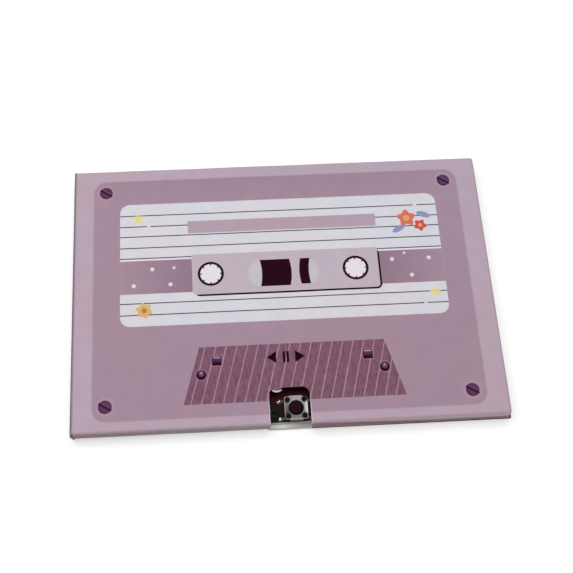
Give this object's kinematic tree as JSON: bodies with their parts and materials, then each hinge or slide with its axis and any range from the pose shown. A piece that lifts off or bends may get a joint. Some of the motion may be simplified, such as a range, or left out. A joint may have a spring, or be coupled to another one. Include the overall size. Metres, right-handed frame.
{
  "type": "recordable greeting card",
  "caption": "Thin board greeting card with a sound module in its cover, a finger notch over a push key, and a narrow spine folded to a back leaf.",
  "frame": {"origin": "centre of the underside of the closed card, lying on its back leaf", "axes": "+X towards the open right-hand edge, +Y towards the far edge of the print, +Z out of the printed front"},
  "size_m": [0.1091, 0.0722, 0.005],
  "materials": {
    "printed_board": "matt lilac print",
    "white_paper": "uncoated",
    "foam": "closed cell foam",
    "board_green": "solder mask",
    "black_plastic": "moulded",
    "key_plastic": "moulded, fine texture",
    "plate_steel": "tinned",
    "contact_steel": "bright",
    "solder": "bright",
    "resin_black": "cured resin",
    "chip_ceramic": "matt",
    "chip_black": "matt",
    "film": "clear film",
    "magnet_grey": "plated",
    "copper_wire": "enamelled",
    "terminal_board": "phenolic",
    "can_aluminium": "drawn",
    "felt_black": "felt",
    "tray_white": "moulded",
    "cell_steel": "bright",
    "lead_red": "smooth",
    "lead_black": "smooth"
  },
  "bodies": {
    "back": {"back_leaf": "printed_board", "back_lining": "white_paper"},
    "spine": {"spine_strip": "printed_board"},
    "cover": {"front_cover": "printed_board", "foam_core": "foam", "inner_page": "white_paper", "circuit_board": "board_green", "switch_base": "black_plastic", "switch_plate": "plate_steel", "switch_dome": "contact_steel", "switch_legs": "contact_steel", "switch_solder": "solder", "voice_chip": "resin_black", "memory_chip": "chip_black", "memory_legs": "contact_steel", "chip_resistors": "chip_black", "chip_capacitors": "chip_ceramic", "speaker_basket": "plate_steel", "speaker_pot": "magnet_grey", "speaker_magnet": "magnet_grey", "speaker_pole": "plate_steel", "speaker_coil": "copper_wire", "speaker_cone": "film", "speaker_terminals": "terminal_board", "microphone_can": "can_aluminium", "microphone_capsule": "black_plastic", "microphone_felt": "felt_black", "microphone_pins": "contact_steel", "battery_tray": "tray_white", "button_cell_1": "cell_steel", "button_cell_2": "cell_steel", "button_cell_3": "cell_steel", "battery_strips_lower": "contact_steel", "battery_strips_upper": "contact_steel", "speaker_lead_red": "lead_red", "speaker_lead_black": "lead_black", "battery_lead_black": "lead_black", "battery_lead_red": "lead_red"},
    "key": {"switch_key": "key_plastic"}
  },
  "joints": [
    {"name": "back_fold", "type": "hinge", "parent": "back", "child": "spine", "pos_m": [-0.05375, 0, 0.00025], "axis": [0, -1, 0], "range_deg": [0, 90]},
    {"name": "cover_fold", "type": "hinge", "parent": "spine", "child": "cover", "pos_m": [-0.05375, 0, 0.00475], "axis": [0, -1, 0], "range_deg": [0, 90]},
    {"name": "key_press", "type": "slide", "parent": "cover", "child": "key", "axis": [0, 0, -1], "range_m": [0, 0.00025], "stiffness_N_per_m": 500}
  ],
  "couplings": [
    {"joint": "back_fold", "follows": "cover_fold", "ratio": 1}
  ]
}
